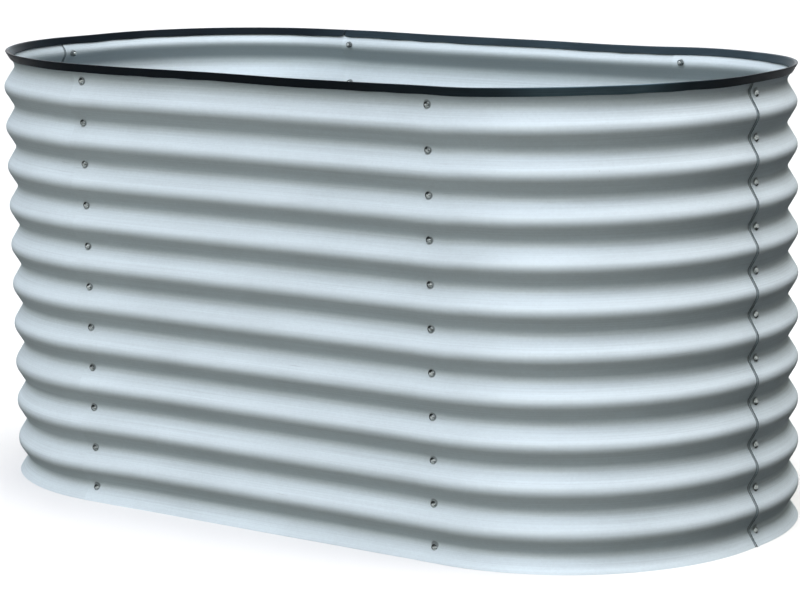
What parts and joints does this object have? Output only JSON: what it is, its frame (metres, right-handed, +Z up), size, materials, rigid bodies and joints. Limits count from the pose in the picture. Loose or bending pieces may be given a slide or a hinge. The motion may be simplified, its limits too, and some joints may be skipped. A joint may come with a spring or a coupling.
{
  "type": "raised garden bed",
  "caption": "Tall oval raised garden bed of corrugated steel panels lapped and bolted at upright seams, open at top and bottom, with a soft rim strip.",
  "frame": {"origin": "on the ground at the middle of the oval", "axes": "+Z up out of the bed's open top, +X along its length, -Y towards the front long side"},
  "size_m": [1.5988, 0.8048, 0.8238],
  "materials": {
    "sheet_steel": "satin galvanised sheet with fine streaks along the corrugation",
    "edging_rubber": "matt near-black flexible strip",
    "bolt_zinc": "zinc plated, dull",
    "strap_zinc": "zinc plated flat bar"
  },
  "bodies": {
    "root": {"front_side_panel": "sheet_steel", "back_side_panel": "sheet_steel", "front_left_corner_panel": "sheet_steel", "front_right_corner_panel": "sheet_steel", "back_right_corner_panel": "sheet_steel", "back_left_corner_panel": "sheet_steel", "rim_edging": "edging_rubber", "front_left_seam_bolts": "bolt_zinc", "front_left_seam_washers": "bolt_zinc", "front_left_seam_nuts": "bolt_zinc", "front_right_seam_bolts": "bolt_zinc", "front_right_seam_washers": "bolt_zinc", "front_right_seam_nuts": "bolt_zinc", "right_end_seam_bolts": "bolt_zinc", "right_end_seam_washers": "bolt_zinc", "right_end_seam_nuts": "bolt_zinc", "back_right_seam_bolts": "bolt_zinc", "back_right_seam_washers": "bolt_zinc", "back_right_seam_nuts": "bolt_zinc", "back_left_seam_bolts": "bolt_zinc", "back_left_seam_washers": "bolt_zinc", "back_left_seam_nuts": "bolt_zinc", "left_end_seam_bolts": "bolt_zinc", "left_end_seam_washers": "bolt_zinc", "left_end_seam_nuts": "bolt_zinc", "left_cross_strap": "strap_zinc", "right_cross_strap": "strap_zinc"}
  },
  "joints": []
}
